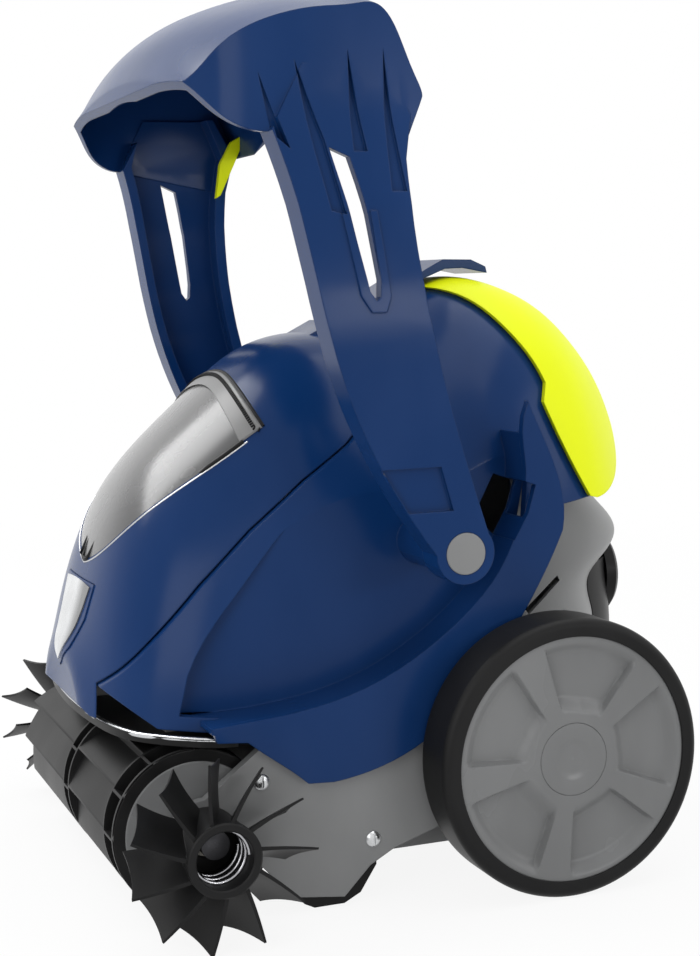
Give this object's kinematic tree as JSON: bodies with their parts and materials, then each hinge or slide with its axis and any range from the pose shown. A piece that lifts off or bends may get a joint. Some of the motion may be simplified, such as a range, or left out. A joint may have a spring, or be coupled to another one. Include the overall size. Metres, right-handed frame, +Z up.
{
  "type": "pool cleaner",
  "caption": "Wheeled floor cleaner with bladed front roller, arched filter hood with viewing window, rear outlet and swinging carrying handle.",
  "frame": {"origin": "on the floor, under the middle of the whole machine", "axes": "+Z up, the bladed roller faces -Y, +X is the left side of the cleaner"},
  "size_m": [0.368, 0.3736, 0.5192],
  "materials": {
    "tyre_rubber": "smooth moulded rubber",
    "soft_rubber": "soft matt moulded rubber",
    "grey_plastic": "fine matt moulded plastic",
    "blue_plastic": "deep blue gloss moulded plastic",
    "lime_plastic": "lime satin moulded plastic",
    "black_plastic": "black matt moulded plastic",
    "smoke_plastic": "clear smoke moulded plastic",
    "bright_trim": "bright plated trim",
    "steel": "turned stainless steel",
    "gear_plastic": "off-white gear plastic",
    "motor_can": "painted metal can",
    "board": "lacquered circuit board",
    "mesh_cloth": "fine woven filter mesh",
    "rim_grey": "satin moulded plastic"
  },
  "bodies": {
    "chassis": {"wheel_axle_left": "steel", "brush_bearing_left": "gear_plastic", "side_panel_left": "grey_plastic", "drive_motor_left": "motor_can", "wheel_axle_right": "steel", "brush_bearing_right": "gear_plastic", "side_panel_right": "grey_plastic", "drive_motor_right": "motor_can", "idler_pins": "steel", "lower_hull": "grey_plastic", "main_cover": "blue_plastic", "hinge_bar": "grey_plastic", "lid_hinge_pins": "steel", "front_lip": "black_plastic", "skid_pads": "soft_rubber", "side_screws": "steel", "latch_pin": "steel", "tail_cover": "lime_plastic", "rear_hull": "grey_plastic", "rear_bumper": "black_plastic", "outlet_nozzle": "black_plastic", "pump_duct": "black_plastic", "pump_motor": "motor_can", "motor_block": "grey_plastic", "block_base": "grey_plastic", "control_board": "board", "cable_gland": "black_plastic", "filter_basket": "black_plastic", "filter_mesh": "mesh_cloth", "flap_pin": "steel", "pivot_studs": "steel"},
    "wheel_left": {"tyre_left": "tyre_rubber", "wheel_disc_left": "rim_grey", "hub_cap_left": "rim_grey", "ring_gear_left": "gear_plastic"},
    "wheel_right": {"tyre_right": "tyre_rubber", "wheel_disc_right": "rim_grey", "hub_cap_right": "rim_grey", "ring_gear_right": "gear_plastic"},
    "brush": {"brush_roller": "black_plastic", "blade_wheel_left": "soft_rubber", "blade_wheel_right": "soft_rubber", "brush_shaft": "steel", "brush_gear": "gear_plastic"},
    "pinion_left": {"drive_pinion_left": "steel"},
    "pinion_right": {"drive_pinion_right": "steel"},
    "idler_rear": {"idler_rear": "gear_plastic"},
    "idler_front": {"idler_front": "gear_plastic"},
    "impeller": {"impeller": "gear_plastic"},
    "carrying_handle": {"handle": "blue_plastic", "grip_pads": "lime_plastic", "pivot_cap_left": "grey_plastic", "pivot_cap_right": "grey_plastic"},
    "hood": {"filter_lid": "blue_plastic", "lid_window": "smoke_plastic", "vent_frame": "grey_plastic", "nose_insert": "bright_trim"},
    "latch": {"lid_latch": "blue_plastic"},
    "check_flap": {"inlet_flap": "soft_rubber"}
  },
  "joints": [
    {"name": "wheel_left_spin", "type": "hinge", "parent": "chassis", "child": "wheel_left", "pos_m": [0, 0.0688, 0.08], "axis": [1, 0, 0], "continuous": true},
    {"name": "wheel_right_spin", "type": "hinge", "parent": "chassis", "child": "wheel_right", "pos_m": [0, 0.0688, 0.08], "axis": [1, 0, 0], "continuous": true},
    {"name": "brush_spin", "type": "hinge", "parent": "chassis", "child": "brush", "pos_m": [0, -0.13475, 0.052], "axis": [1, 0, 0], "continuous": true},
    {"name": "pinion_left_spin", "type": "hinge", "parent": "chassis", "child": "pinion_left", "pos_m": [0, 0.0238, 0.08], "axis": [1, 0, 0], "continuous": true},
    {"name": "pinion_right_spin", "type": "hinge", "parent": "chassis", "child": "pinion_right", "pos_m": [0, 0.0238, 0.08], "axis": [1, 0, 0], "continuous": true},
    {"name": "idler_rear_spin", "type": "hinge", "parent": "chassis", "child": "idler_rear", "pos_m": [0, -0.01854, 0.07252], "axis": [1, 0, 0], "continuous": true},
    {"name": "idler_front_spin", "type": "hinge", "parent": "chassis", "child": "idler_front", "pos_m": [0, -0.0796, 0.06174], "axis": [1, 0, 0], "continuous": true},
    {"name": "impeller_spin", "type": "hinge", "parent": "chassis", "child": "impeller", "pos_m": [0, 0.1548, 0.153], "axis": [0, 1, 0], "continuous": true},
    {"name": "handle_pivot", "type": "hinge", "parent": "chassis", "child": "carrying_handle", "pos_m": [0, 0.0038, 0.202], "axis": [1, 0, 0], "range_deg": [-75, 35]},
    {"name": "hood_hinge", "type": "hinge", "parent": "chassis", "child": "hood", "pos_m": [0, -0.1732, 0.115], "axis": [1, 0, 0], "range_deg": [0, 75]},
    {"name": "latch_hinge", "type": "hinge", "parent": "chassis", "child": "latch", "pos_m": [0, 0.0328, 0.337], "axis": [-1, 0, 0], "range_deg": [0, 4], "stiffness_Nm_per_rad": 1.5},
    {"name": "flap_hinge", "type": "hinge", "parent": "chassis", "child": "check_flap", "pos_m": [0, -0.0412, 0.0316], "axis": [-1, 0, 0], "range_deg": [0, 60]}
  ],
  "couplings": [
    {"joint": "wheel_right_spin", "follows": "brush_spin", "ratio": -0.4386},
    {"joint": "pinion_right_spin", "follows": "brush_spin", "ratio": -2.0833},
    {"joint": "idler_front_spin", "follows": "brush_spin", "ratio": -0.80645},
    {"joint": "idler_rear_spin", "follows": "brush_spin", "ratio": 0.80645},
    {"joint": "pinion_left_spin", "follows": "wheel_left_spin", "ratio": 4.75}
  ]
}
